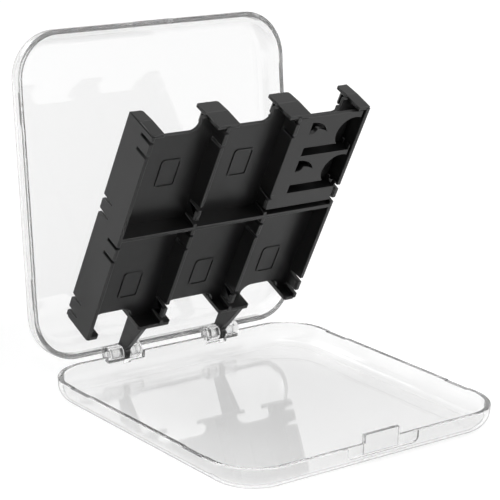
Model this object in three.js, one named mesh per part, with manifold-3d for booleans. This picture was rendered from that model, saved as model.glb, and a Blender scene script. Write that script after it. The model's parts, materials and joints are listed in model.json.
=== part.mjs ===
// Clear two-shell case with a swinging black tray for game cards and memory cards.
// Millimetres, +Z up. The origin is the centre of the base's underside, +X runs along the hinge and
// -Y is the opening side. The case is drawn open, with the tray standing between lid and base.
import * as THREE from 'three';
import { mergeVertices } from 'three/addons/utils/BufferGeometryUtils.js';
import Module from 'manifold-3d';

const wasm = await Module();
wasm.setup();

// Clear shells
const CASE_WIDTH = 88;
const CASE_DEPTH = 88.8;
const CORNER_RADIUS = 13;
const EDGE_RADIUS = 5;
const SIDE_WALL = 1.4;
const PANEL = 1.0;
const BASE_HEIGHT = 6.5;
const LID_HEIGHT = 6.8;
const PARTING_GAP = 0.3;
const EDGE_STEPS = 6;
const CORNER_STEPS = 9;

// Shallow reliefs in both rims, two along each side
const RELIEF_SPAN = [20.5, 29];
const RELIEF_DEPTH = 0.3;

// Front catch: a tongue on the base fills a notch in the lid, under a thumb scoop
const TONGUE_WIDTH = 11.3;
const TONGUE_THICKNESS = 1.4;
const TONGUE_RISE = 2.2;
const CATCH_CLEARANCE = 0.5;
const SCOOP_WIDTH = 23;
const SCOOP_DROP = 3.1;
const SCOOP_DEPTH = 0.5;
const SCOOP_CORNER = 1.6;

// Hinge: two stations mirrored about the middle, sizes along X from the middle outwards
const HINGE_BEHIND = 0.65;
const HINGE_Y = CASE_DEPTH / 2 + HINGE_BEHIND;
const HINGE_Z = BASE_HEIGHT + PARTING_GAP / 2;
const LID_OPEN = THREE.MathUtils.degToRad(97);
const TRAY_OPEN = LID_OPEN * 2 / 3;
const KNUCKLE_RADIUS = 2.2;
const KNUCKLE_CLEAR_RADIUS = 2.75;
const LEG_CLEAR_RADIUS = 3.2;
const KNUCKLE_GAP = 0.3;
const LID_KNUCKLE = [12.1, 15.3];
const LEG_SPAN = [15.6, 17.2];
const BASE_KNUCKLE = [17.5, 22.1];
const PIN_RADIUS = 1.0;
const BORE_RADIUS = 1.15;
const PIN_HEAD_RADIUS = 1.6;
const PIN_HEAD_LENGTH = 0.8;
const PIN_HEAD_CLEAR_RADIUS = 2.3;
const PIN_CHAMFER = 0.3;
const PIN_SEAT_WALL = 1.0;
const ROUND_SIDES = 24;

// Tray: X across, Y away from the hinge axis, Z towards the side that faces the base when shut
const COLUMNS = 3;
const POCKET_WIDTH = 22.1;
const TRAY_WALL = 1.1;
const TRAY_WIDTH = COLUMNS * POCKET_WIDTH + (COLUMNS + 1) * TRAY_WALL;
const COLUMN_PITCH = POCKET_WIDTH + TRAY_WALL;
const TRAY_NEAR = 12.8;
const TRAY_FAR = 80.3;
const MID_WALL = 46.8;
const TRAY_FRONT = 5.4;
const TRAY_BACK = -5.7;
const WEB_MIDDLE = (TRAY_FRONT + TRAY_BACK) / 2;
const WEB = 1.2;
const WEB_FRONT = WEB_MIDDLE + WEB / 2;
const WEB_FAR = 75.5;
const WEB_SHOULDER = 1.6;
const WEB_SHOULDER_ROUND = 2.3;
const NOTCH_TOP = 16.9;
const NOTCH_CORNER = 3.3;
const FLANGE = 1.1;
const CORNER_FLANGE = 3.7;
const NEAR_FLANGE = [8.3, 18.7];
const FAR_FLANGE = 3.5;
const FAR_FLANGE_SLOPE = 0.45;
const FLANGE_CORNER = 0.9;
const FLANGE_SETBACK = 0.15;
const FLANGE_OVERHANG = 0.25;
const FLANGE_DEEP = [TRAY_BACK + FLANGE_SETBACK, TRAY_FRONT - FLANGE_SETBACK];
const LEG_EYE_RADIUS = 2.2;
const LEG_BACK = -2.2;
const LEG_FRONT = 5.0;
const LEG_SEAT = 0.77;
const LEG_EYE_ARC = [Math.PI * 0.2, Math.PI * 1.5];

// Snap fingers cut into the tray's walls: the middles of their two slits, measured from the row's near
// wall, each slit's width at its root and at its mouth, and how far the lip stands out
const UPPER_FINGER = { near: 26.2, far: 30.5, slit: 0.9, mouth: 0.9, lip: 0.5 };
const LOWER_FINGER = { near: 1.6, far: 6.0, slit: 0.5, mouth: 1.5, lip: 0.6 };
const FINGER_ROOT = 0.5;
const SLIT_PAST = 0.2;
const LIP_TOP = TRAY_FRONT - 0.1;
const LIP_HEIGHT = 1.4;
const LIP_ROOT = 0.2;
const LIP_CHAMFER = 0.3;
const LIP_GAP = 0.1;

// Raised card outline on each pocket's floor, a little right of its middle
const OUTLINE_MIDDLES = [25.8, 63.2];
const OUTLINE_SHIFT = 1.0;
const OUTLINE_WIDTH = 6.3;
const OUTLINE_LENGTH = 8.9;
const OUTLINE_RIDGE = 0.5;
const OUTLINE_RISE = 0.25;
const OUTLINE_CORNER = 1.0;

// Memory card holder in the far right pocket, sizes from its pocket's inner corner next to the hinge
const HOLDER_FACE = 5.05;
const HOLDER_NEAR = 1.5;
const HOLDER_FAR = 78.9;
const HOLDER_SIDE_GAP = 0.6;
const HOLDER_OVERHANG = 3.7;
const CARD_SLOTS = 2;
const SLOT_PITCH = 12.45;
const SLOT_FIRST = 6.2;
const SLOT_SIDE = 4.9;
const SLOT_HEIGHT = 2.8;
const SLOT_FLOOR = 1.1;
const CARD_SPACE = 1.4;
const CARD_SPACE_HEIGHT = 11.3;
const COVER = 1.3;
const THUMB_RADIUS = 4.9;
const THUMB_RISE = 6.15;
const THUMB_FROM_SIDE = 1.9;
const WINDOW_RISE = 7.3;
const WINDOW_WIDTH = 5.9;
const WINDOW_HEIGHT = 3.7;

// Cutting tools run this far past what they cut
const OVERSHOOT = 1;

function solid(geometry, matrix = new THREE.Matrix4()) {
  const bare = geometry.clone().applyMatrix4(matrix);
  bare.deleteAttribute('normal');
  bare.deleteAttribute('uv');
  const merged = mergeVertices(bare, 1e-4);
  return new wasm.Manifold(new wasm.Mesh({
    numProp: 3,
    vertProperties: new Float32Array(merged.attributes.position.array),
    triVerts: new Uint32Array(merged.index.array),
  }));
}

function box([x0, x1], [y0, y1], [z0, z1]) {
  const geometry = new THREE.BoxGeometry(x1 - x0, y1 - y0, z1 - z0);
  return solid(geometry.translate((x0 + x1) / 2, (y0 + y1) / 2, (z0 + z1) / 2));
}

function join(parts) {
  return parts.reduce((whole, part) => whole.add(part));
}

function cut(whole, tools) {
  return tools.length ? whole.subtract(join(tools)) : whole;
}

const SIDES = [-1, 1];

function mirroredSpan([near, far], side) {
  return side > 0 ? [near, far] : [-far, -near];
}

// Rectangle with round corners, centred at x, y
function roundRect(width, height, radius, x = 0, y = 0, path = new THREE.Shape()) {
  const w = width / 2;
  const h = height / 2;
  path.moveTo(x - w + radius, y - h);
  path.lineTo(x + w - radius, y - h);
  path.absarc(x + w - radius, y - h + radius, radius, -Math.PI / 2, 0);
  path.lineTo(x + w, y + h - radius);
  path.absarc(x + w - radius, y + h - radius, radius, 0, Math.PI / 2);
  path.lineTo(x - w + radius, y + h);
  path.absarc(x - w + radius, y + h - radius, radius, Math.PI / 2, Math.PI);
  path.lineTo(x - w, y - h + radius);
  path.absarc(x - w + radius, y - h + radius, radius, Math.PI, Math.PI * 1.5);
  return path;
}

function plate(shape, [z0, z1], curveSegments = 4) {
  const geometry = new THREE.ExtrudeGeometry(shape, { depth: z1 - z0, bevelEnabled: false, curveSegments });
  return solid(geometry.translate(0, 0, z0));
}

// A profile drawn in (Y, Z) and extruded along X
function alongX(shape, [x0, x1], curveSegments = 12) {
  const geometry = new THREE.ExtrudeGeometry(shape, { depth: x1 - x0, bevelEnabled: false, curveSegments });
  const axes = new THREE.Matrix4().makeBasis(
    new THREE.Vector3(0, 1, 0), new THREE.Vector3(0, 0, 1), new THREE.Vector3(1, 0, 0));
  return solid(geometry, axes.setPosition(x0, 0, 0));
}

function rodAlongX(radius, [x0, x1], y, z) {
  const geometry = new THREE.CylinderGeometry(radius, radius, x1 - x0, ROUND_SIDES);
  return solid(geometry.rotateZ(Math.PI / 2).translate((x0 + x1) / 2, y, z));
}

function mesh(name, manifold, material) {
  const { vertProperties, triVerts } = manifold.getMesh();
  const geometry = new THREE.BufferGeometry();
  geometry.setAttribute('position', new THREE.BufferAttribute(new Float32Array(vertProperties), 3));
  geometry.setIndex(new THREE.BufferAttribute(new Uint32Array(triVerts), 1));
  geometry.computeVertexNormals();
  const piece = new THREE.Mesh(geometry, material);
  piece.name = name;
  return piece;
}

// One shell, standing on its panel with its rim at the given height
function cushionBlock(inset, edge, floor, height) {
  const outline = roundRect(CASE_WIDTH - 2 * inset, CASE_DEPTH - 2 * inset, CORNER_RADIUS - inset);
  const geometry = new THREE.ExtrudeGeometry(outline, {
    depth: height, bevelThickness: edge, bevelSize: edge, bevelOffset: -edge,
    bevelSegments: EDGE_STEPS, curveSegments: CORNER_STEPS,
  });
  return solid(geometry.translate(0, 0, floor + edge));
}

function shell(height) {
  const slab = box([-CASE_WIDTH, CASE_WIDTH], [-CASE_DEPTH, CASE_DEPTH], [-OVERSHOOT, height]);
  const outside = cushionBlock(0, EDGE_RADIUS, 0, height).intersect(slab);
  const inside = cushionBlock(SIDE_WALL, EDGE_RADIUS - SIDE_WALL, PANEL, height);
  return cut(outside, [inside, ...rimReliefs(height)]);
}

// Cutters for the reliefs on both sides of a rim, of a shell that stands on its panel
function rimReliefs(height) {
  const across = [CASE_WIDTH / 2 - SIDE_WALL - OVERSHOOT, CASE_WIDTH / 2 + OVERSHOOT];
  const deep = [height - RELIEF_DEPTH, height + OVERSHOOT];
  return SIDES.flatMap((side) => SIDES.map(
    (end) => box(mirroredSpan(across, side), mirroredSpan(RELIEF_SPAN, end), deep)));
}

// Rods on the hinge axis at both stations, for barrels, bores and clearances
function hingeRods(radius, span) {
  return SIDES.map((side) => rodAlongX(radius, mirroredSpan(span, side), HINGE_Y, HINGE_Z));
}

const LEG_ROOM = [LEG_SPAN[0] - KNUCKLE_GAP, LEG_SPAN[1] + KNUCKLE_GAP];
const PIN_HEAD_START = LID_KNUCKLE[0] - KNUCKLE_GAP - PIN_HEAD_LENGTH;

// The base has the outer knuckles, whose bores end blind, the catch tongue and the thumb scoop
function makeBase() {
  const front = -CASE_DEPTH / 2;
  const scoopShape = roundRect(SCOOP_WIDTH, 2 * SCOOP_DROP, SCOOP_CORNER, 0, BASE_HEIGHT);
  const scoop = plate(scoopShape, [-front - SCOOP_DEPTH, -front + OVERSHOOT], 8).rotate([90, 0, 0]);
  const openings = [
    ...hingeRods(KNUCKLE_CLEAR_RADIUS, [PIN_HEAD_START - KNUCKLE_GAP, BASE_KNUCKLE[0]]),
    ...hingeRods(LEG_CLEAR_RADIUS, LEG_ROOM),
  ];
  const tongueFront = front + SCOOP_DEPTH;
  const tongue = box([-TONGUE_WIDTH / 2, TONGUE_WIDTH / 2], [tongueFront, tongueFront + TONGUE_THICKNESS],
    [BASE_HEIGHT - SCOOP_DROP, BASE_HEIGHT + TONGUE_RISE]);
  const body = cut(shell(BASE_HEIGHT), [scoop, ...openings]);
  const bores = hingeRods(BORE_RADIUS, [BASE_KNUCKLE[0] - OVERSHOOT, BASE_KNUCKLE[1] - PIN_SEAT_WALL]);
  return cut(join([body, tongue, ...hingeRods(KNUCKLE_RADIUS, BASE_KNUCKLE)]), bores);
}

// The lid is drawn shut over the base, with the inner knuckles and the catch notch
function makeLid() {
  const front = -CASE_DEPTH / 2;
  const rim = BASE_HEIGHT + PARTING_GAP;
  const shut = shell(LID_HEIGHT).rotate([180, 0, 0]).translate([0, 0, rim + LID_HEIGHT]);
  const notchSide = TONGUE_WIDTH / 2 + CATCH_CLEARANCE;
  const notchBack = front + SCOOP_DEPTH + TONGUE_THICKNESS + CATCH_CLEARANCE;
  const notch = box([-notchSide, notchSide], [front - OVERSHOOT, notchBack],
    [rim - OVERSHOOT, BASE_HEIGHT + TONGUE_RISE + CATCH_CLEARANCE]);
  const openings = [
    ...hingeRods(KNUCKLE_CLEAR_RADIUS, [LID_KNUCKLE[1], BASE_KNUCKLE[1] + KNUCKLE_GAP]),
    ...hingeRods(LEG_CLEAR_RADIUS, LEG_ROOM),
    ...hingeRods(PIN_HEAD_CLEAR_RADIUS, [PIN_HEAD_START - KNUCKLE_GAP, LID_KNUCKLE[0]]),
  ];
  const body = cut(shut, [notch, ...openings]);
  const bores = hingeRods(BORE_RADIUS, [LID_KNUCKLE[0] - OVERSHOOT, LID_KNUCKLE[1] + OVERSHOOT]);
  return cut(join([body, ...hingeRods(KNUCKLE_RADIUS, LID_KNUCKLE)]), bores);
}

// A pin with a chamfered head on the inside, turned about its own axis
function makePin(side) {
  const length = BASE_KNUCKLE[1] - PIN_SEAT_WALL - KNUCKLE_GAP - PIN_HEAD_START;
  const profile = [
    [0, 0], [PIN_HEAD_RADIUS - PIN_CHAMFER, 0], [PIN_HEAD_RADIUS, PIN_CHAMFER],
    [PIN_HEAD_RADIUS, PIN_HEAD_LENGTH], [PIN_RADIUS, PIN_HEAD_LENGTH],
    [PIN_RADIUS, length - PIN_CHAMFER], [PIN_RADIUS - PIN_CHAMFER, length], [0, length],
  ].map(([r, along]) => new THREE.Vector2(r, along));
  const geometry = new THREE.LatheGeometry(profile, ROUND_SIDES).rotateZ(-side * Math.PI / 2);
  return solid(geometry.translate(side * PIN_HEAD_START, HINGE_Y, HINGE_Z));
}

// Tray pieces
const wallMiddles = Array.from({ length: COLUMNS + 1 }, (_, i) => (i - COLUMNS / 2) * COLUMN_PITCH);
const columnMiddles = Array.from({ length: COLUMNS }, (_, i) => (i - (COLUMNS - 1) / 2) * COLUMN_PITCH);
const rowNears = [TRAY_NEAR + FLANGE, MID_WALL + TRAY_WALL / 2];
const trayDeep = [TRAY_BACK, TRAY_FRONT];
const trayLong = [TRAY_NEAR + FLANGE / 2, TRAY_FAR - FLANGE / 2];
const halfWall = [-TRAY_WALL / 2, TRAY_WALL / 2];
const farRight = { column: COLUMNS - 1, row: 1 };

// Half turn about the tray's length, which takes what is on one side to the other
function otherSide(part) {
  return part.translate([0, 0, -WEB_MIDDLE]).rotate([0, 180, 0]).translate([0, 0, WEB_MIDDLE]);
}

// X spans of the flanges that close the pockets' ends, at the outer walls and across the dividers
function flangeSpans(inner, outer) {
  const edge = TRAY_WIDTH / 2 - FLANGE_SETBACK;
  return [[-edge, CORNER_FLANGE - edge], [-outer, -inner], [inner, outer], [edge - CORNER_FLANGE, edge]];
}

const nearFlanges = flangeSpans(...NEAR_FLANGE);
const farFlanges = flangeSpans(COLUMN_PITCH / 2 - FAR_FLANGE, COLUMN_PITCH / 2 + FAR_FLANGE);

// The web between both sides, with finger notches at its near end and a low far edge that rises to a
// shoulder beside each far flange
function makeWeb() {
  const depth = [WEB_MIDDLE - WEB / 2, WEB_FRONT];
  const sheet = box([-TRAY_WIDTH / 2, TRAY_WIDTH / 2], trayLong, depth);
  const past = [depth[0] - OVERSHOOT, depth[1] + OVERSHOOT];
  const gaps = columnMiddles.flatMap((_, i) => {
    const nearGap = [nearFlanges[i][1] - FLANGE_OVERHANG, nearFlanges[i + 1][0] + FLANGE_OVERHANG];
    const farGap = [farFlanges[i][1] - FLANGE_OVERHANG, farFlanges[i + 1][0] - WEB_SHOULDER];
    const reach = 2 * NOTCH_TOP;
    const [nearMiddle, farMiddle] = [nearGap, farGap].map(([from, to]) => (from + to) / 2);
    return [
      roundRect(nearGap[1] - nearGap[0], reach, NOTCH_CORNER, nearMiddle, 0),
      roundRect(farGap[1] - farGap[0], reach, WEB_SHOULDER_ROUND, farMiddle, WEB_FAR + reach / 2),
    ];
  });
  return cut(sheet, gaps.map((shape) => plate(shape, past)));
}

function makeWalls() {
  const long = wallMiddles.map((x) => box(halfWall.map((h) => x + h), trayLong, trayDeep));
  const across = box([-TRAY_WIDTH / 2, TRAY_WIDTH / 2], halfWall.map((h) => MID_WALL + h), trayDeep);
  return [...long, across];
}

// A flange's outline with round corners, seen from the hinge, between two places along the tray
function flangeBlock([x0, x1], [z0, z1], [y0, y1]) {
  const shape = roundRect(x1 - x0, z1 - z0, FLANGE_CORNER, (x0 + x1) / 2, (z0 + z1) / 2);
  return plate(shape, [-y1, -y0], 3).rotate([90, 0, 0]);
}

// Flat flanges next to the hinge, and far flanges that fall towards the lid side and are round at its corners
function makeFlanges() {
  const near = nearFlanges.map((span) => flangeBlock(span, FLANGE_DEEP, [TRAY_NEAR, TRAY_NEAR + FLANGE]));
  const roof = new THREE.Shape([
    [TRAY_FAR - FLANGE, FLANGE_DEEP[0]], [TRAY_FAR - FAR_FLANGE_SLOPE, FLANGE_DEEP[0]],
    [TRAY_FAR, WEB_MIDDLE - WEB / 2], [TRAY_FAR, FLANGE_DEEP[1]], [TRAY_FAR - FLANGE, FLANGE_DEEP[1]],
  ].map(([y, z]) => new THREE.Vector2(y, z)));
  const deep = [FLANGE_DEEP[0], FLANGE_DEEP[1] + 2 * FLANGE_CORNER];
  const long = [TRAY_FAR - 2 * FLANGE, TRAY_FAR + OVERSHOOT];
  const far = farFlanges.map((span) => alongX(roof, span).intersect(flangeBlock(span, deep, long)));
  return [...near, ...far];
}

// Two legs that taper from the near flanges to eyes on the hinge axis
function makeLegs() {
  const profile = new THREE.Shape();
  profile.moveTo(TRAY_NEAR + LEG_SEAT, LEG_BACK);
  profile.lineTo(TRAY_NEAR + LEG_SEAT, LEG_FRONT);
  profile.lineTo(TRAY_NEAR, LEG_FRONT);
  profile.absarc(0, 0, LEG_EYE_RADIUS, ...LEG_EYE_ARC);
  profile.lineTo(TRAY_NEAR, LEG_BACK);
  return SIDES.map((side) => {
    const leg = alongX(profile, mirroredSpan(LEG_SPAN, side));
    const past = [LEG_SPAN[0] - OVERSHOOT, LEG_SPAN[1] + OVERSHOOT];
    return leg.subtract(rodAlongX(BORE_RADIUS, mirroredSpan(past, side), 0, 0));
  });
}

// Slit pair that frees one finger of a wall, wider at the wall's edge
function fingerSlits(x, rowNear, finger) {
  const past = TRAY_WALL / 2 + SLIT_PAST;
  return [finger.near, finger.far].map((at) => {
    const y = rowNear + at;
    const shape = new THREE.Shape([
      [y - finger.slit / 2, WEB_FRONT + FINGER_ROOT], [y + finger.slit / 2, WEB_FRONT + FINGER_ROOT],
      [y + finger.mouth / 2, TRAY_FRONT + OVERSHOOT], [y - finger.mouth / 2, TRAY_FRONT + OVERSHOOT],
    ].map(([a, b]) => new THREE.Vector2(a, b)));
    return alongX(shape, [x - past, x + past]);
  });
}

// Lip on a finger's end, a wedge that a card snaps past, on one side of the wall
function fingerLip(x, rowNear, finger, side) {
  const inset = Math.max(finger.slit, finger.mouth) / 2 + LIP_GAP;
  const root = x + side * (TRAY_WALL / 2 - LIP_ROOT);
  const tip = x + side * (TRAY_WALL / 2 + finger.lip);
  const shape = new THREE.Shape([
    [root, LIP_TOP - LIP_HEIGHT], [root, LIP_TOP], [tip - side * LIP_CHAMFER, LIP_TOP],
    [tip, LIP_TOP - LIP_HEIGHT / 2],
  ].map(([a, b]) => new THREE.Vector2(a, b)));
  const span = [rowNear + finger.near + inset, rowNear + finger.far - inset];
  const geometry = new THREE.ExtrudeGeometry(shape, { depth: span[1] - span[0], bevelEnabled: false });
  return solid(geometry.rotateX(Math.PI / 2).translate(0, span[1], 0));
}

// One side's fingers: the upper ones hold the pocket on their right, the lower ones that on their left
function makeFingers() {
  const cuts = [];
  const lips = [];
  rowNears.forEach((near) => wallMiddles.forEach((x, i) => {
    if (i < COLUMNS) {
      cuts.push(...fingerSlits(x, near, UPPER_FINGER));
      lips.push(fingerLip(x, near, UPPER_FINGER, 1));
    }
    if (i > 0) {
      cuts.push(...fingerSlits(x, near, LOWER_FINGER));
      lips.push(fingerLip(x, near, LOWER_FINGER, -1));
    }
  }));
  return { cuts, lips };
}

function pocketOutline(column, row) {
  const x = columnMiddles[column] + OUTLINE_SHIFT;
  const y = OUTLINE_MIDDLES[row];
  const ring = roundRect(OUTLINE_WIDTH, OUTLINE_LENGTH, OUTLINE_CORNER, x, y);
  const inner = [OUTLINE_WIDTH, OUTLINE_LENGTH].map((size) => size - 2 * OUTLINE_RIDGE);
  ring.holes.push(roundRect(...inner, OUTLINE_CORNER - OUTLINE_RIDGE, x, y, new THREE.Path()));
  return plate(ring, [WEB_FRONT - OUTLINE_RISE, WEB_FRONT + OUTLINE_RISE], 3);
}

// Outlines of the base side, whose far right pocket has the holder, and of the lid side
function makeOutlines() {
  const cells = rowNears.flatMap((_, row) => columnMiddles.map((__, column) => ({ column, row })));
  const isHolder = ({ column, row }) => column === farRight.column && row === farRight.row;
  const outline = ({ column, row }) => pocketOutline(column, row);
  return [
    ...cells.filter((cell) => !isHolder(cell)).map(outline),
    ...cells.map((cell) => otherSide(outline(cell))),
  ];
}

// Block for the memory cards: each has a space under the cover, a slot, a thumb hole and a window
function makeHolder() {
  const left = columnMiddles[farRight.column] - POCKET_WIDTH / 2;
  const right = left + POCKET_WIDTH - HOLDER_SIDE_GAP;
  const near = rowNears[farRight.row];
  const long = [near + HOLDER_NEAR, HOLDER_FAR];
  const block = box([left - TRAY_WALL / 2, right], long, [WEB_MIDDLE, HOLDER_FACE]);
  const slotStarts = Array.from({ length: CARD_SLOTS }, (_, i) => near + SLOT_FIRST + i * SLOT_PITCH);
  const above = HOLDER_FACE + OVERSHOOT;
  const slotLeft = left + SLOT_SIDE;
  const space = [HOLDER_FACE - COVER - CARD_SPACE, HOLDER_FACE - COVER];
  const tools = slotStarts.flatMap((y) => {
    const thumb = new THREE.Shape();
    thumb.absarc(right - THUMB_FROM_SIDE, y + THUMB_RISE, THUMB_RADIUS, 0, Math.PI * 2);
    return [
      box([slotLeft, right + OVERSHOOT], [y, y + CARD_SPACE_HEIGHT], space),
      box([slotLeft, right - HOLDER_SIDE_GAP / 2], [y, y + SLOT_HEIGHT], [SLOT_FLOOR, above]),
      plate(thumb, [SLOT_FLOOR, above], 12),
      plate(windowShape(slotLeft, y + WINDOW_RISE), [space[0], above], 6),
    ];
  });
  const pastWeb = [HOLDER_FAR - HOLDER_OVERHANG, HOLDER_FAR + OVERSHOOT];
  const under = box([left - TRAY_WALL, right + OVERSHOOT], pastWeb, [WEB_MIDDLE - OVERSHOOT, space[1]]);
  return cut(block, [...tools, under]);
}

// Fin-shaped window: a straight back, a bowed top and a hollow underside
function windowShape(x, y) {
  const at = (u, v) => [x + u * WINDOW_WIDTH, y + v * WINDOW_HEIGHT];
  const shape = new THREE.Shape();
  shape.moveTo(...at(0, 0));
  shape.quadraticCurveTo(...at(0.35, 0), ...at(0.4, 0.4));
  shape.quadraticCurveTo(...at(0.75, 0.35), ...at(1, 0.1));
  shape.quadraticCurveTo(...at(0.7, 1), ...at(0, 1));
  return shape;
}

function makeTray() {
  const frame = join([makeWeb(), ...makeWalls(), ...makeFlanges(), ...makeLegs()]);
  const fingers = makeFingers();
  const sides = (parts) => parts.flatMap((part) => [part, otherSide(part)]);
  const slit = cut(frame, sides(fingers.cuts));
  return join([slit, makeHolder(), ...sides(fingers.lips), ...makeOutlines()]);
}

// Assembly
const clear = () => new THREE.MeshStandardMaterial({
  color: 0xeef1f2, roughness: 0.06, metalness: 0, transparent: true, opacity: 0.28,
});
const black = new THREE.MeshStandardMaterial({ color: 0x252627, roughness: 0.5, metalness: 0 });

// A group whose contents turn about the hinge axis
function hinged(piece, angle, pivot) {
  const group = new THREE.Group();
  group.position.set(0, HINGE_Y, HINGE_Z);
  group.rotation.x = angle;
  piece.position.set(0, -pivot.y, -pivot.z);
  group.add(piece);
  return group;
}

const model = new THREE.Group();
model.add(mesh('base_shell', makeBase(), clear()));
model.add(mesh('hinge_pin_left', makePin(-1), clear()));
model.add(mesh('hinge_pin_right', makePin(1), clear()));
model.add(hinged(mesh('lid_shell', makeLid(), clear()), -LID_OPEN, { y: HINGE_Y, z: HINGE_Z }));
model.add(hinged(mesh('card_tray', makeTray(), black), Math.PI - TRAY_OPEN, { y: 0, z: 0 }));

export default model;
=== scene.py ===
# %% [markdown]
# # A clear card case with a black swing-out tray
# The case is three mouldings on one hinge: a clear base, a clear lid and a black tray with pockets on
# both sides. The solids of the case are already built and packed. This lesson loads them as a fixed frame
# and gives them their finish: smooth polished shells in place of the faceted ones, softened edges on the
# tray, and light that lets clear plastic be seen against white.

# %% Load the frame
import json
import math

import bmesh
import bpy
from mathutils import Matrix, Vector


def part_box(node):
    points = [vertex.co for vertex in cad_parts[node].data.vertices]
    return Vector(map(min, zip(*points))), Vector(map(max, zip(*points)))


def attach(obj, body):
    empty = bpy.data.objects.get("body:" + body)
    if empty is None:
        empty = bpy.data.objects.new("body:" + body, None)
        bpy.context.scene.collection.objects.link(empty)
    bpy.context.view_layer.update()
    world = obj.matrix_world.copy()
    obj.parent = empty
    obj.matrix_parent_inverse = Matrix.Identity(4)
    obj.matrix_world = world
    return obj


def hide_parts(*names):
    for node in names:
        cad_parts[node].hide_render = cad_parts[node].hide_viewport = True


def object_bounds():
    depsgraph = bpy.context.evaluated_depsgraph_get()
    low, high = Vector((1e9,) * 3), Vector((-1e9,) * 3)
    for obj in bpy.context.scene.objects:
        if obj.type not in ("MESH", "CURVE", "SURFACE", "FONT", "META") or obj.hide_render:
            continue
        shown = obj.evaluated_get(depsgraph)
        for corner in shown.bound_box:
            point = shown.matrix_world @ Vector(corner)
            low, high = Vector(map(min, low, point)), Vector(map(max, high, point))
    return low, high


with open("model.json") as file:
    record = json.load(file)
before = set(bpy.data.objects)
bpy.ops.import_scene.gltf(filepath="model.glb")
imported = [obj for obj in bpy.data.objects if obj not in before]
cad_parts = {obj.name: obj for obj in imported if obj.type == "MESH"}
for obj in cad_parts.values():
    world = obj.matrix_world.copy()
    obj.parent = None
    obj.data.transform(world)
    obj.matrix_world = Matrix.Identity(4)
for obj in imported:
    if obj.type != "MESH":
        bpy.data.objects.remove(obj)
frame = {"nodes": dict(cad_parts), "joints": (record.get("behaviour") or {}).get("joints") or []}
cad_low, cad_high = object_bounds()
scene = bpy.context.scene
scene.view_settings.view_transform = "Standard"

# %% [markdown]
# ## Measures
# Blender works in metres here, and the case was drawn in millimetres, so `MM` turns one into the other.
# What the frame knows is read from it: the hinge axis, how far the lid swings and how wide and deep the
# case is. The remaining sizes are those of the mouldings' walls and round edges.

# %% Measures of the case
MM = 0.001
TINY = 1e-6
joints = {joint["name"]: joint for joint in frame["joints"]}
hinge = Vector(joints["lid_hinge"]["pos_m"])
lid_swing = math.radians(joints["lid_hinge"]["range_deg"][1])
base_low, base_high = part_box("base_shell")
half_width = base_high.x
half_depth = -base_low.y
PARTING_GAP = 0.3 * MM
BASE_RIM = hinge.z - PARTING_GAP / 2
LID_RIM = hinge.z + PARTING_GAP / 2
LID_HEIGHT = 6.8 * MM
SIDE_WALL = 1.4 * MM
PANEL = 1.0 * MM
CORNER_RADIUS = 13 * MM
EDGE_RADIUS = 5 * MM
print(f"case {2 * half_width / MM:.1f} x {2 * half_depth / MM:.1f} mm, hinge at z {hinge.z / MM:.2f} mm")

# %% [markdown]
# ## Camera
# The photograph was taken with a long lens from the front left, a little above the case. A camera could
# be pointed at the case with a constraint, but a fitted view also has a small roll and a middle that is
# no point of the case. So the camera is placed by its bearing: the backward axis points from the case to
# the lens, and the picture is tilted by the roll. A matrix with right, up and backward as its columns is
# all that a Blender camera needs.

# %% Camera
CAMERA_PLACE = Vector((-305.77, -377.82, 182.07)) * MM
CAMERA_AZIMUTH = math.radians(-38.177)
CAMERA_ELEVATION = math.radians(15.871)
CAMERA_ROLL = math.radians(1.689)
PHOTO_PIXELS = 500
FOCAL_PIXELS = 1965.2
SENSOR_WIDTH = 36
NEAREST_SEEN = 10 * MM


def camera_turn():
    """The camera's axes as the columns of a matrix."""
    level = math.cos(CAMERA_ELEVATION)
    rise = math.sin(CAMERA_ELEVATION)
    back = Vector((math.sin(CAMERA_AZIMUTH) * level, -math.cos(CAMERA_AZIMUTH) * level, rise))
    right = Vector((math.cos(CAMERA_AZIMUTH), math.sin(CAMERA_AZIMUTH), 0))
    upright = Matrix((right, back.cross(right), back)).transposed().to_4x4()
    return upright @ Matrix.Rotation(CAMERA_ROLL, 4, "Z")


lens = bpy.data.cameras.new("camera")
lens.sensor_width = SENSOR_WIDTH
lens.lens = SENSOR_WIDTH * FOCAL_PIXELS / PHOTO_PIXELS
lens.clip_start = NEAREST_SEEN
camera = bpy.data.objects.new("camera", lens)
camera.matrix_world = Matrix.Translation(CAMERA_PLACE) @ camera_turn()
scene.collection.objects.link(camera)
scene.camera = camera
print(f"lens {lens.lens:.1f} mm")

# %% [markdown]
# ## Shader sums in Python
# A finish is a small network of nodes. Written node by node it is long, so a few helpers shorten it.
# `Nodes.add` makes any node from its kind, its settings and its inputs. `Wire` wraps an output, so that
# `0.3 + 0.7 * mask` adds its two Math nodes by itself. `ramp` and `blend` stand for the two nodes that
# are used most, one that turns a span of values into another and one that mixes two colours.


# %% Shader helpers
class Wire:
    """An output socket that can be used in Python sums."""

    def __init__(self, nodes, socket):
        self.nodes = nodes
        self.socket = socket

    def __getitem__(self, name):
        return Wire(self.nodes, self.socket.node.outputs[name])

    def sum(self, operation, first, second):
        return self.nodes.add("Math", {"operation": operation}, {0: first, 1: second})

    def __add__(self, other):
        return self.sum("ADD", self, other)

    def __mul__(self, other):
        return self.sum("MULTIPLY", self, other)

    def __lt__(self, other):
        return self.sum("LESS_THAN", self, other)

    def either(self, other):
        return self.sum("MAXIMUM", self, other)

    __radd__ = __add__
    __rmul__ = __mul__


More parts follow.
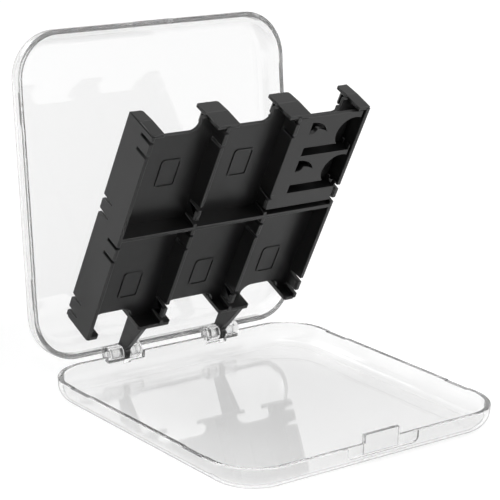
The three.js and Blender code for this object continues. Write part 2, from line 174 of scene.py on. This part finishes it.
class Nodes:
    """A node tree that starts empty and is filled by one method."""

    def __init__(self, tree):
        self.tree = tree
        tree.nodes.clear()

    def add(self, kind, settings=None, inputs=None):
        node = self.tree.nodes.new("ShaderNode" + kind)
        for name, value in (settings or {}).items():
            setattr(node, name, value)
        for name, value in (inputs or {}).items():
            if isinstance(value, Wire):
                self.tree.links.new(value.socket, node.inputs[name])
            else:
                node.inputs[name].default_value = value
        return Wire(self, node.outputs[0]) if node.outputs else None


# %% Ramps, colours and finishes


def ramp(nodes, value, span, ends, kind="LINEAR"):
    """Turns a value that runs over a span into one that runs between two ends."""
    return nodes.add("MapRange", {"interpolation_type": kind}, {
        "Value": value, "From Min": span[0], "From Max": span[1], "To Min": ends[0], "To Max": ends[1]})


def blend(nodes, share, first, second):
    """Mixes two colours, which are inputs 6 and 7 and output 2 of a Mix node."""
    return nodes.add("Mix", {"data_type": "RGBA"}, {0: share, 6: first, 7: second})[2]


def grey(level):
    return level, level, level, 1


def new_finish(name):
    """A material with an empty node tree, ready to be filled."""
    material = bpy.data.materials.new(name)
    material.use_nodes = True
    return material, Nodes(material.node_tree)


WHITE = grey(1)
BLACK = grey(0)
print("white", WHITE, "black", BLACK)

# %% [markdown]
# ## Room
# Clear plastic shows what is around it, so the room matters more than the lamps. It could be built of
# white boards round the case, but a world that answers each kind of ray is simpler, and has no corners
# that would be mirrored. The camera, and whatever is seen through plastic, meets a white room. A mirror
# image meets white near the horizon and a dimmer sky above it: under an all white sky a shut lid would
# mirror so much white that the tray below it would hardly show. Light that only falls on dull surfaces
# comes from a softer white.

# %% World
ROOM_LIGHT = 0.55
SKY = 0.74
SKY_FADE = (0.04, 0.3)
NO_DULL_BOUNCE = 0.5


def seen_directly(nodes):
    """1 where a ray is part of the picture itself, and 0 where it only brings light to a dull surface."""
    path = nodes.add("LightPath")
    shown = path["Is Camera Ray"].either(path["Is Glossy Ray"]).either(path["Is Transmission Ray"])
    return shown * (path["Diffuse Depth"] < NO_DULL_BOUNCE)


world = bpy.data.worlds.new("white_room")
world.use_nodes = True
scene.world = world
room = Nodes(world.node_tree)
height = room.add("SeparateXYZ", None, {0: room.add("TexCoord")["Generated"]})["Z"]
sky = ramp(room, height, SKY_FADE, (1, SKY), "SMOOTHSTEP")
room_path = room.add("LightPath")
backdrop = sky.either(room_path["Is Camera Ray"]).either(room_path["Is Transmission Ray"])
picture = room.add("Background", None, {"Color": WHITE, "Strength": backdrop})
light = room.add("Background", None, {"Color": WHITE, "Strength": ROOM_LIGHT})
both = room.add("MixShader", None, {0: seen_directly(room), 1: light, 2: picture})
room.add("OutputWorld", None, {"Surface": both})
print("room light", ROOM_LIGHT, "mirrored sky", SKY)

# %% [markdown]
# ## Paper
# The case lies on a sheet of white paper that runs away from the camera. A lit sheet alone would turn
# grey in the case's shadow, so part of its white is a glow of its own, and the shadows on it stay pale.
# The glow is stronger under the case, where the base takes up some of it, and grows again with distance,
# where less lamp light falls.

# %% Floor
PAPER_WIDTH = 0.8
PAPER_LENGTH = 1.9
PAPER_SHIFT = 0.4
FLOOR_DROP = 0.05 * MM
FLOOR_ALBEDO = 0.68
GLOW_UNDER = 0.52
GLOW_NEAR = 0.36
GLOW_FAR = 0.54
UNDER_REACH = (0.05, 0.1)
FAR_REACH = (0.1, 0.7)


def floor_finish():
    """White paper: part of its white is a glow of its own, painted light that keeps its shade pale."""
    material, nodes = new_finish("white_paper")
    paper = nodes.add("BsdfDiffuse", None, {"Color": grey(FLOOR_ALBEDO)})
    place = nodes.add("TexCoord")["Object"]
    distance = nodes.add("VectorMath", {"operation": "LENGTH"}, {0: place})["Value"]
    # painted light: the glow is strongest under the case, lifting the paper that the base shades, and grows
    # with distance where less lamp light falls
    under = ramp(nodes, distance, UNDER_REACH, (GLOW_UNDER, GLOW_NEAR))
    beyond = ramp(nodes, distance, FAR_REACH, (0, GLOW_FAR - GLOW_NEAR))
    strength = seen_directly(nodes) * (under + beyond)
    glow = nodes.add("Emission", None, {"Color": WHITE, "Strength": strength})
    nodes.add("OutputMaterial", None, {"Surface": nodes.add("AddShader", None, {0: paper, 1: glow})})
    return material


def make_floor():
    bm = bmesh.new()
    shape = Matrix.Diagonal((PAPER_WIDTH / 2, PAPER_LENGTH / 2, 1, 1))
    place = Matrix.Rotation(CAMERA_AZIMUTH, 4, "Z") @ Matrix.Translation((0, PAPER_SHIFT, -FLOOR_DROP))
    bmesh.ops.create_grid(bm, x_segments=1, y_segments=1, size=1, matrix=place @ shape)
    mesh = bpy.data.meshes.new("floor")
    bm.to_mesh(mesh)
    bm.free()
    mesh.materials.append(floor_finish())
    floor = bpy.data.objects.new("floor", mesh)
    scene.collection.objects.link(floor)
    return floor


floor = make_floor()
print(f"paper {PAPER_WIDTH} x {PAPER_LENGTH} m")

# %% [markdown]
# ## Lamps
# Four large soft lamps stand round the case. On polished plastic a lamp is a mirror image, and the images
# of the two lamps in front would lie over whole panels and hide what is behind them. A photographer turns
# such lamps aside or screens them off. Here light linking does it: those two light only the things in one
# collection, the paper and the black tray.

# %% Lamps
LAMPS = {
    "overhead_softbox": {"place": (-0.1, -0.1, 0.7), "size": (0.6, 0.6), "watts": 0.95, "on_plastic": True},
    "left_softbox": {"place": (-0.6, -0.25, 0.35), "size": (0.4, 0.4), "watts": 0.8, "on_plastic": False},
    "right_strip": {"place": (0.5, -0.44, 0.5), "size": (0.6, 0.8), "watts": 3.0, "on_plastic": False},
    "back_softbox": {"place": (-0.2, 0.62, 0.52), "size": (0.4, 0.3), "watts": 1.1, "on_plastic": True},
}
case_middle = (cad_low + cad_high) / 2
dull_things = bpy.data.collections.new("dull_things")
dull_things.objects.link(floor)


def add_lamp(name, place, size, watts, on_plastic):
    """A rectangular lamp that points at the middle of the case."""
    lamp = bpy.data.lights.new(name, "AREA")
    lamp.shape = "RECTANGLE"
    lamp.size, lamp.size_y = size
    lamp.energy = watts
    holder = bpy.data.objects.new(name, lamp)
    turn = (case_middle - Vector(place)).to_track_quat("-Z", "Y").to_matrix().to_4x4()
    holder.matrix_world = Matrix.Translation(place) @ turn
    scene.collection.objects.link(holder)
    if not on_plastic:
        holder.light_linking.receiver_collection = dull_things


for lamp_name, lamp_values in LAMPS.items():
    add_lamp(lamp_name, **lamp_values)
    print(lamp_name, lamp_values["watts"], "W")

# %% [markdown]
# ## Clear plastic
# The shells are polished styrene. It refracts, and it takes up a little light along the way, so a thin
# panel looks white and a rim, seen along its length, looks grey. A Glass shader could do that, but a
# Principled shader that transmits a little less than everything has a faint haze as well, which lifts the
# light that is trapped in the rims. It is filled with a thin absorption. What shows a clear thing against
# white is its contour, where light passes along the surface and is bent away; here that dark contour is
# painted shade. Layer Weight gives the slant of the surface, and the colour is painted darker from about
# where a surface is seen more flatly than the base's floor. Lamps would cast hard shadows through the
# plastic, so lamp rays pass straight through. A very slow ripple, as moulded panels have, bends the
# mirror images a little.

# %% Clear finish
STYRENE_IOR = 1.5
STYRENE_ABSORPTION = 4.0
STYRENE_CLEARNESS = 0.95
CLEAR_LEVEL = 0.952
CONTOUR_SHADE_LEVEL = 0.12
CONTOUR_SLANT = (math.radians(74), math.radians(78))
EVEN_BLEND = 0.5
LAMP_RAY_LEVEL = 0.94
RIPPLE = {"Scale": 38.0, "Detail": 1.0}
RIPPLE_BUMP = {"Strength": 0.004, "Distance": 0.3 * MM}
SMEARS = {"Scale": 90.0, "Detail": 3.0}
CLEAR_ROUGHNESS = 0.002
SMEAR_ROUGHNESS = 0.012


def clear_finish():
    """Clear styrene. At an even blend, facing is 1 minus the cosine of the slant."""
    material, nodes = new_finish("clear_styrene")
    place = nodes.add("TexCoord")["Object"]
    ripple = nodes.add("TexNoise", None, {"Vector": place, **RIPPLE})
    bump = nodes.add("Bump", None, {"Height": ripple, **RIPPLE_BUMP})
    smears = nodes.add("TexNoise", None, {"Vector": place, **SMEARS})
    facing = nodes.add("LayerWeight", None, {"Blend": EVEN_BLEND})["Facing"]
    # painted shade: the base colour darkens to a near black grey where the surface is seen at a grazing
    # slant, standing in for the dark contour of clear plastic
    contour = ramp(nodes, facing, [1 - math.cos(slant) for slant in CONTOUR_SLANT], (0, 1))
    plastic = nodes.add("BsdfPrincipled", None, {
        "Base Color": blend(nodes, contour, grey(CLEAR_LEVEL), grey(CONTOUR_SHADE_LEVEL)),
        "Roughness": CLEAR_ROUGHNESS + SMEAR_ROUGHNESS * smears,
        "IOR": STYRENE_IOR,
        "Transmission Weight": STYRENE_CLEARNESS,
        "Normal": bump,
    })
    lamp_ray = nodes.add("LightPath")["Is Shadow Ray"]
    open_way = nodes.add("BsdfTransparent", None, {"Color": grey(LAMP_RAY_LEVEL)})
    surface = nodes.add("MixShader", None, {0: lamp_ray, 1: plastic, 2: open_way})
    inside = nodes.add("VolumeAbsorption", None, {"Color": BLACK, "Density": STYRENE_ABSORPTION})
    nodes.add("OutputMaterial", None, {"Surface": surface, "Volume": inside})
    return material


clear_styrene = clear_finish()
print(clear_styrene.name, len(clear_styrene.node_tree.nodes), "nodes")

# %% [markdown]
# ## Mesh helpers
# Forms that overlap could simply be left so, but in clear plastic every overlap shows as a wall. So mesh
# objects are joined or cut by Boolean modifiers, and the result is baked into one mesh with a single
# skin. Smooth shading with weighted normals keeps flat panels optically flat right up to their round
# edges.

# %% Objects and Booleans
SHARP_ANGLE = math.radians(35)


def to_object(bm, name):
    mesh = bpy.data.meshes.new(name)
    bm.to_mesh(mesh)
    bm.free()
    made = bpy.data.objects.new(name, mesh)
    scene.collection.objects.link(made)
    return made


def bake_modifiers(made):
    """Replaces an object's mesh by what its modifiers make of it."""
    bpy.context.view_layer.update()
    evaluated = made.evaluated_get(bpy.context.evaluated_depsgraph_get())
    baked = bpy.data.meshes.new_from_object(evaluated)
    made.modifiers.clear()
    made.data = baked


def combine(body, tools, operation):
    """Joins tools to a body or cuts them from it, one after the other, and removes the tools."""
    for tool in tools:
        step = body.modifiers.new(operation, "BOOLEAN")
        step.operation = operation
        step.solver = "EXACT"
        step.object = tool
    bake_modifiers(body)
    for tool in tools:
        bpy.data.objects.remove(tool)


def smooth(made):
    made.data.shade_smooth()
    made.data.set_sharp_from_angle(angle=SHARP_ANGLE)
    weights = made.modifiers.new("weighted_normals", "WEIGHTED_NORMAL")
    weights.keep_sharp = True


def finish_piece(made, name, node, body, material):
    """Names a piece, gives it its finish and puts it in its node's place on its body."""
    made.name = name
    made.data.materials.clear()
    made.data.materials.append(material)
    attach(made, body)
    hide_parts(node)
    print(name, len(made.data.polygons), "faces")


# %% Blocks and rods
ROD_SIDES = 64
ROD_END_STEPS = 3


def bevel_edges(bm, edges, offset, segments):
    bmesh.ops.bevel(
        bm, geom=edges, offset=offset, offset_type="OFFSET", segments=segments, profile=0.5,
        affect="EDGES", material=-1)


def block(low, high):
    """A box between two corners, as a bmesh."""
    low, high = Vector(low), Vector(high)
    bm = bmesh.new()
    size = Matrix.Diagonal((*(high - low), 1))
    bmesh.ops.create_cube(bm, size=1, matrix=Matrix.Translation((low + high) / 2) @ size)
    return bm


def rod(radius, span, round_edge=0.0):
    """A rod on the hinge axis between two places along X, as an object."""
    bm = bmesh.new()
    middle = Matrix.Translation((sum(span) / 2, hinge.y, hinge.z))
    bmesh.ops.create_cone(
        bm, cap_ends=True, segments=ROD_SIDES, radius1=radius, radius2=radius,
        depth=abs(span[1] - span[0]), matrix=middle @ Matrix.Rotation(math.pi / 2, 4, "Y"))
    if round_edge:
        ends = [e for e in bm.edges if abs(e.verts[0].co.x - e.verts[1].co.x) < TINY]
        bevel_edges(bm, ends, round_edge, ROD_END_STEPS)
    return to_object(bm, "rod")


# %% [markdown]
# ## Shells
# A shell is a shallow dish with round corners and a round lower edge. A subdivided cage would give soft
# corners too, but not of a set radius. A cube whose upright edges and then lower edges are bevelled is
# exactly the shape. One such cube is the outside, a smaller one turned inside out is the inside, and a
# bridge between their open edges is the rim, which is then rounded. Two shallow reliefs are cut into the
# rim along each side.

# %% Rim reliefs
RELIEF_MIDDLE = 24.75 * MM
RELIEF_LENGTH = 8.5 * MM
RELIEF_DEPTH = 0.3 * MM
RELIEF_REACH = 3 * MM
print(f"reliefs {RELIEF_LENGTH / MM:.1f} mm long and {RELIEF_DEPTH / MM:.1f} mm deep")


def rim_reliefs(rim):
    """Cutters for the shallow reliefs, two along each side of the rim."""
    cutters = []
    for across in (-half_width, half_width):
        for along in (-RELIEF_MIDDLE, RELIEF_MIDDLE):
            low = (across - RELIEF_REACH, along - RELIEF_LENGTH / 2, rim - RELIEF_DEPTH)
            high = (across + RELIEF_REACH, along + RELIEF_LENGTH / 2, rim + RELIEF_DEPTH)
            cutters.append(to_object(block(low, high), "relief"))
    return cutters


# %% Shell
CORNER_STEPS = 20
EDGE_STEPS = 14
RIM_ROUND = 0.22 * MM
RIM_STEPS = 3
print(f"side walls {SIDE_WALL / MM:.1f} mm, panels {PANEL / MM:.1f} mm")


def open_cushion(inset, edge, floor_height, rim):
    """A box with round corners and a round lower edge, open at the rim."""
    low = (-half_width + inset, -half_depth + inset, floor_height)
    high = (half_width - inset, half_depth - inset, rim)
    bm = block(low, high)
    upright = [e for e in bm.edges if abs(e.verts[0].co.z - e.verts[1].co.z) > TINY]
    bevel_edges(bm, upright, CORNER_RADIUS - inset, CORNER_STEPS)
    lowest = [e for e in bm.edges if all(abs(v.co.z - floor_height) < TINY for v in e.verts)]
    bevel_edges(bm, lowest, edge, EDGE_STEPS)
    top = [f for f in bm.faces if all(abs(v.co.z - rim) < TINY for v in f.verts)]
    bmesh.ops.delete(bm, geom=top, context="FACES_ONLY")
    return bm


def shell(rim, name):
    """A whole shell standing on its panel, with its rim at the given height."""
    bm = open_cushion(0, EDGE_RADIUS, 0, rim)
    inside = open_cushion(SIDE_WALL, EDGE_RADIUS - SIDE_WALL, PANEL, rim)
    bmesh.ops.reverse_faces(inside, faces=inside.faces[:])
    inner_skin = bpy.data.meshes.new("inner_skin")
    inside.to_mesh(inner_skin)
    inside.free()
    bm.from_mesh(inner_skin)
    bpy.data.meshes.remove(inner_skin)
    rims = [e for e in bm.edges if e.is_boundary]
    bmesh.ops.bridge_loops(bm, edges=rims)
    bevel_edges(bm, rims, RIM_ROUND, RIM_STEPS)
    bmesh.ops.recalc_face_normals(bm, faces=bm.faces[:])
    made = to_object(bm, name)
    combine(made, rim_reliefs(rim), "DIFFERENCE")
    return made


# %% [markdown]
# ## Hinge
# Barrels stand on the back walls of both shells, side by side on one axis. They could be modelled into
# the faces of the walls, but rods that cut and join keep the round edges of the shells whole. Each wall
# is first cut clear where the other shell's barrel and the tray's legs turn, then its own barrels are
# joined on and bored. In this order no clearance takes anything off a barrel.

# %% Hinge measures
KNUCKLE_RADIUS = 2.2 * MM
KNUCKLE_ROUND = 0.25 * MM
CLEAR_RADIUS = 2.75 * MM
LEG_CLEAR_RADIUS = 3.2 * MM
HEAD_CLEAR_RADIUS = 2.3 * MM
BORE_RADIUS = 1.15 * MM
PIN_RADIUS = 1.0 * MM
HEAD_RADIUS = 1.6 * MM
HEAD_LENGTH = 0.8 * MM
KNUCKLE_GAP = 0.3 * MM
SEAT_WALL = 1.0 * MM
LID_KNUCKLE = (12.1 * MM, 15.3 * MM)
BASE_KNUCKLE = (17.5 * MM, 22.1 * MM)
HEAD_START = LID_KNUCKLE[0] - KNUCKLE_GAP - HEAD_LENGTH
OVERSHOOT = 1 * MM
print(f"hinge stations from x {HEAD_START / MM:.1f} to {BASE_KNUCKLE[1] / MM:.1f} mm, on both sides")


def both_sides(radius, near, far, round_edge=0.0):
    """Rods at both hinge stations, which mirror each other."""
    return [rod(radius, span, round_edge) for span in ((near, far), (-far, -near))]


def leg_room():
    """Rods that cut a wall clear where the tray's legs turn."""
    return both_sides(LEG_CLEAR_RADIUS, LID_KNUCKLE[1], BASE_KNUCKLE[0])


# %% [markdown]
# ## Catch
# The catch at the front is a tongue on the base, in the middle of a shallow thumb scoop, and a notch in
# the lid that it fills. All three are plain blocks. The scoop is cut with a block whose corners are
# rounded first, so that the hollow has the same rounds.

# %% Catch tongue and thumb scoop
TONGUE_WIDTH = 11.3 * MM
TONGUE_THICKNESS = 1.4 * MM
TONGUE_RISE = 2.2 * MM
TONGUE_ROUND = 0.15 * MM
TONGUE_STEPS = 2
SCOOP_WIDTH = 23 * MM
SCOOP_DROP = 3.1 * MM
SCOOP_DEPTH = 0.5 * MM
SCOOP_CORNER = 1.6 * MM
SCOOP_STEPS = 8
print(f"tongue {TONGUE_WIDTH / MM:.1f} mm wide in a scoop {SCOOP_WIDTH / MM:.1f} mm wide")


def thumb_scoop():
    """The cutter for the scoop: a flat block with round corners."""
    low = (-SCOOP_WIDTH / 2, -half_depth - OVERSHOOT, BASE_RIM - SCOOP_DROP)
    high = (SCOOP_WIDTH / 2, -half_depth + SCOOP_DEPTH, BASE_RIM + SCOOP_DROP)
    bm = block(low, high)
    along = [e for e in bm.edges if abs(e.verts[0].co.y - e.verts[1].co.y) > TINY]
    bevel_edges(bm, along, SCOOP_CORNER, SCOOP_STEPS)
    return to_object(bm, "scoop")


def catch_tongue():
    front = -half_depth + SCOOP_DEPTH
    low = (-TONGUE_WIDTH / 2, front, BASE_RIM - SCOOP_DROP)
    high = (TONGUE_WIDTH / 2, front + TONGUE_THICKNESS, BASE_RIM + TONGUE_RISE)
    bm = block(low, high)
    bevel_edges(bm, bm.edges[:], TONGUE_ROUND, TONGUE_STEPS)
    return to_object(bm, "tongue")


# %% [markdown]
# ## Base
# The base is the lower shell, which lies on the table. It gets its scoop and its clearances first, then
# the tongue and the outer pair of barrels, and last the blind bores that the pins end in.

# %% Base


def make_base():
    base = shell(BASE_RIM, "base")
    turning_room = both_sides(CLEAR_RADIUS, HEAD_START - KNUCKLE_GAP, BASE_KNUCKLE[0])
    combine(base, [thumb_scoop(), *turning_room, *leg_room()], "DIFFERENCE")
    combine(base, [catch_tongue(), *both_sides(KNUCKLE_RADIUS, *BASE_KNUCKLE, KNUCKLE_ROUND)], "UNION")
    bores = both_sides(BORE_RADIUS, BASE_KNUCKLE[0] - OVERSHOOT, BASE_KNUCKLE[1] - SEAT_WALL)
    combine(base, bores, "DIFFERENCE")
    smooth(base)
    finish_piece(base, "clear_base", "base_shell", "base", clear_styrene)


make_base()

# %% [markdown]
# ## Lid
# The lid is the same kind of shell, made lying on its panel. It is turned over onto the base, gets its
# notch and its barrels there, where their places are easy to write, and is then swung open about the
# hinge to the angle of the photograph.

# %% Lid
CATCH_CLEARANCE = 0.5 * MM


def catch_notch():
    side = TONGUE_WIDTH / 2 + CATCH_CLEARANCE
    low = (-side, -half_depth - OVERSHOOT, LID_RIM - OVERSHOOT)
    back = -half_depth + SCOOP_DEPTH + TONGUE_THICKNESS + CATCH_CLEARANCE
    high = (side, back, BASE_RIM + TONGUE_RISE + CATCH_CLEARANCE)
    return to_object(block(low, high), "notch")


def make_lid():
    """The lid is made shut, over the base, and then swung open about the hinge."""
    lid = shell(LID_HEIGHT, "lid")
    lid.data.transform(Matrix.Translation((0, 0, LID_RIM + LID_HEIGHT)) @ Matrix.Rotation(math.pi, 4, "X"))
    turning_room = both_sides(CLEAR_RADIUS, LID_KNUCKLE[1], BASE_KNUCKLE[1] + KNUCKLE_GAP)
    head_room = both_sides(HEAD_CLEAR_RADIUS, HEAD_START - KNUCKLE_GAP, LID_KNUCKLE[0])
    combine(lid, [catch_notch(), *turning_room, *head_room, *leg_room()], "DIFFERENCE")
    combine(lid, both_sides(KNUCKLE_RADIUS, *LID_KNUCKLE, KNUCKLE_ROUND), "UNION")
    bores = both_sides(BORE_RADIUS, LID_KNUCKLE[0] - OVERSHOOT, LID_KNUCKLE[1] + OVERSHOOT)
    combine(lid, bores, "DIFFERENCE")
    swing = Matrix.Translation(hinge) @ Matrix.Rotation(-lid_swing, 4, "X") @ Matrix.Translation(-hinge)
    lid.data.transform(swing)
    smooth(lid)
    finish_piece(lid, "clear_lid", "lid_shell", "lid", clear_styrene)


make_lid()

# %% [markdown]
# ## Hinge pins
# A short headed pin runs through the lid's barrel and the tray's leg into the blind bore of the base's
# barrel. It could be spun from a profile, but the rods that cut the bores are at hand: two of them, the
# head and a shank that starts inside it, are joined to one skin.

# %% Hinge pins
PIN_END_GAP = 0.3 * MM


def make_pin(side, node):
    shank_end = BASE_KNUCKLE[1] - SEAT_WALL - PIN_END_GAP
    spans = [(HEAD_START, HEAD_START + HEAD_LENGTH), (HEAD_START + HEAD_LENGTH / 2, shank_end)]
    head, shank = [sorted((side * near, side * far)) for near, far in spans]
    pin = rod(HEAD_RADIUS, head, KNUCKLE_ROUND)
    combine(pin, [rod(PIN_RADIUS, shank, KNUCKLE_ROUND)], "UNION")
    smooth(pin)
    finish_piece(pin, node + "_polished", node, "base", clear_styrene)


make_pin(-1, "hinge_pin_left")
make_pin(1, "hinge_pin_right")

# %% [markdown]
# ## Black plastic
# The tray is black styrene with the satin surface of a sparked mould. A picture could be wrapped round
# it, but noise on Object coordinates fills the solid itself and has no seams. A fine grain in the bump
# breaks up the gloss, and a slow cloud makes the plastic a little blacker in one place and a little
# duller in another, as handled plastic is.

# %% Tray finish
TRAY_IOR = 1.45
TRAY_LEVELS = (0.004, 0.0075)
TRAY_ROUGHNESS = 0.27
CLOUD_ROUGHNESS = 0.14
CLOUD = {"Scale": 240.0, "Detail": 4.0}
GRAIN = {"Scale": 5200.0, "Detail": 2.0}
GRAIN_BUMP = {"Strength": 0.25, "Distance": 0.02 * MM}


def tray_finish():
    material, nodes = new_finish("black_styrene")
    place = nodes.add("TexCoord")["Object"]
    grain = nodes.add("TexNoise", None, {"Vector": place, **GRAIN})
    cloud = nodes.add("TexNoise", None, {"Vector": place, **CLOUD})
    bump = nodes.add("Bump", None, {"Height": grain, **GRAIN_BUMP})
    plastic = nodes.add("BsdfPrincipled", None, {
        "Base Color": blend(nodes, cloud, grey(TRAY_LEVELS[0]), grey(TRAY_LEVELS[1])),
        "Roughness": TRAY_ROUGHNESS + CLOUD_ROUGHNESS * cloud,
        "IOR": TRAY_IOR,
        "Normal": bump,
    })
    nodes.add("OutputMaterial", None, {"Surface": plastic})
    return material


black_styrene = tray_finish()
print(black_styrene.name, len(black_styrene.node_tree.nodes), "nodes")

# %% [markdown]
# ## Tray
# The tray's solid already has every wall, finger and window, but its edges are knife sharp, and a real
# moulding has small rounds that catch the light. So a copy of the solid has its triangles dissolved into
# whole faces. The ridge across each cap is split and sunk a little, which makes the seam where the
# mould's halves met. Rounding every edge would tear the narrowest faces, so only the outer edges that
# have room for a round get a bevel weight, and a Bevel modifier rounds those alone.

# %% Seams
SEAM_RIDGE_ANGLE = (math.radians(2.5), math.radians(10))
SEAM_WIDTH = 0.13 * MM
SEAM_DEPTH = 0.14 * MM
SEAM_STEPS = 2
BROAD_FACE = 12 * MM * MM


def face_angle(edge):
    return edge.calc_face_angle() if edge.is_manifold else 0.0


def cut_seams(bm):
    """Cuts the mould's parting seam along the ridge of each cap: the ridge is split in two and sunk."""
    ridges = [
        e for e in bm.edges
        if SEAM_RIDGE_ANGLE[0] < face_angle(e) < SEAM_RIDGE_ANGLE[1]
        and min(f.calc_area() for f in e.link_faces) > BROAD_FACE]
    normal = sum((f.normal for e in ridges for f in e.link_faces), Vector()).normalized()
    places = [v.co.copy() for e in ridges for v in e.verts]
    bevel_edges(bm, ridges, SEAM_WIDTH, SEAM_STEPS)
    sunk = [v for v in bm.verts if any((v.co - place).length < SEAM_WIDTH / 2 for place in places)]
    bmesh.ops.translate(bm, verts=sunk, vec=-normal * SEAM_DEPTH)
    return len(ridges)


# %% Rounds
SLIM_FACE = 0.4 * MM
SHORT_EDGE = 0.3 * MM


def width_of(face):
    """How wide a long face is, about."""
    return face.calc_area() / max(e.calc_length() for e in face.edges)


def mark_rounds(bm):
    """Weights the outer edges that a moulding rounds, and leaves out those with no room for it."""
    weight = bm.edges.layers.float.new("bevel_weight_edge")
    marked = 0
    for edge in bm.edges:
        outer = face_angle(edge) > SHARP_ANGLE and edge.is_convex and edge.calc_length() > SHORT_EDGE
        if outer and min(width_of(f) for f in edge.link_faces) > SLIM_FACE:
            edge[weight] = 1
            marked += 1
    return marked


# %% Tray
TRAY_ROUND = 0.14 * MM
TRAY_ROUND_STEPS = 2
TRAY_SHARP_ANGLE = math.radians(25)
FLAT_ANGLE = math.radians(1.0)
BROAD_FACES_LEAD = 100


def make_tray():
    bm = bmesh.new()
    bm.from_mesh(frame["nodes"]["card_tray"].data)
    bmesh.ops.remove_doubles(bm, verts=bm.verts[:], dist=TINY)
    bmesh.ops.dissolve_limit(bm, angle_limit=FLAT_ANGLE, verts=bm.verts[:], edges=bm.edges[:])
    print(cut_seams(bm), "seams", mark_rounds(bm), "rounded edges")
    tray = to_object(bm, "tray")
    tray.data.shade_smooth()
    tray.data.set_sharp_from_angle(angle=TRAY_SHARP_ANGLE)
    rounds = tray.modifiers.new("moulded_rounds", "BEVEL")
    rounds.width = TRAY_ROUND
    rounds.segments = TRAY_ROUND_STEPS
    rounds.limit_method = "WEIGHT"
    rounds.use_clamp_overlap = False
    weights = tray.modifiers.new("weighted_normals", "WEIGHTED_NORMAL")
    weights.weight = BROAD_FACES_LEAD
    weights.keep_sharp = True
    finish_piece(tray, "pocket_tray", "card_tray", "tray", black_styrene)
    dull_things.objects.link(tray)


make_tray()

# %% [markdown]
# ## Path bounces
# Light in a clear rim is mirrored many times before it leaves, so a path may have many bounces.

# %% Path bounces
PATH_BOUNCES = 32
scene.cycles.max_bounces = PATH_BOUNCES
scene.cycles.transmission_bounces = PATH_BOUNCES
scene.cycles.glossy_bounces = PATH_BOUNCES
